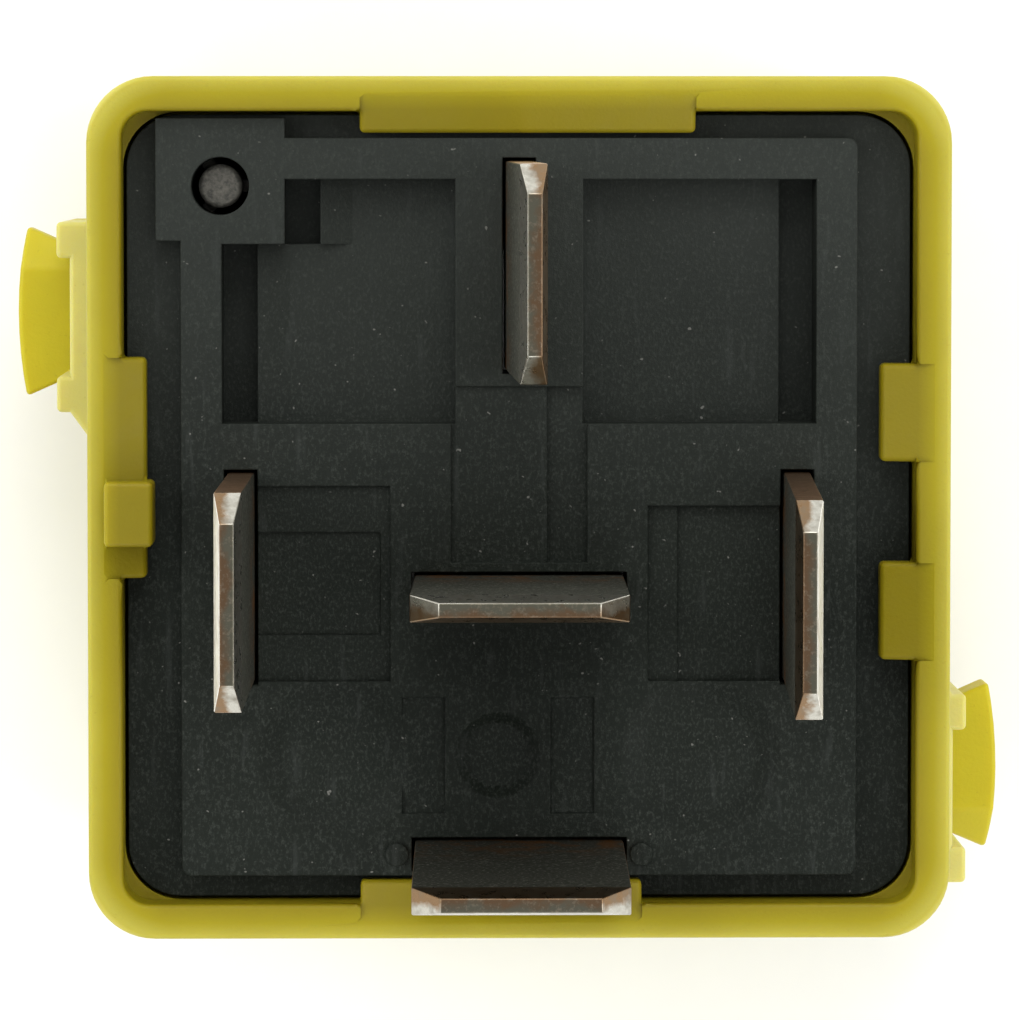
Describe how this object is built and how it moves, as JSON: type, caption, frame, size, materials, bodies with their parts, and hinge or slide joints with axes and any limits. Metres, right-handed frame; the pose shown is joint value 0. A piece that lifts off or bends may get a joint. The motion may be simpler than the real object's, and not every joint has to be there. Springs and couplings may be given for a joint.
{
  "type": "automotive relay",
  "caption": "Changeover relay with blade terminals in a square plug-in cover with two dovetail rails; the coil pulls a hinged armature and moves its contact from one side to the other.",
  "frame": {"origin": "centre of the cover's closed end, at the middle of the outline", "axes": "+Z out of the terminal side along the blades, +Y from the changeover contacts towards terminal 30, +X towards terminal 85"},
  "size_m": [0.0324, 0.026, 0.0362],
  "materials": {
    "cover_plastic": "moulded, satin",
    "base_plastic": "moulded, glass filled, matt",
    "plug_plastic": "matt",
    "blade_metal": "tinned, sheared edges bare copper",
    "magnet_iron": "zinc plated",
    "bobbin_plastic": "natural nylon",
    "copper_wire": "enamelled copper",
    "resistor_coat": "lacquered",
    "tinned_wire": "tinned",
    "spring_bronze": "rolled",
    "contact_silver": "silver"
  },
  "bodies": {
    "housing": {"cover": "cover_plastic", "base": "base_plastic", "vent_plug": "plug_plastic", "terminal_30": "blade_metal", "terminal_85": "blade_metal", "terminal_86": "blade_metal", "terminal_87": "blade_metal", "terminal_87a": "blade_metal", "yoke": "magnet_iron", "core": "magnet_iron", "bobbin": "bobbin_plastic", "coil_winding": "copper_wire", "coil_lead_85": "copper_wire", "coil_lead_86": "copper_wire", "resistor_body": "resistor_coat", "resistor_leads": "tinned_wire", "yoke_rivets": "magnet_iron", "fixed_contact_no": "contact_silver", "fixed_contact_nc": "contact_silver"},
    "armature_unit": {"armature": "magnet_iron", "armature_rivets": "magnet_iron", "contact_spring": "spring_bronze", "moving_contact": "contact_silver"}
  },
  "joints": [
    {"name": "armature_hinge", "type": "hinge", "parent": "housing", "child": "armature_unit", "pos_m": [0, 0.0089, 0.00613], "axis": [-1, 0, 0], "range_deg": [0, 2.8], "stiffness_Nm_per_rad": 0.05, "springref_deg": -4.58, "deforming": ["contact_spring"]}
  ]
}
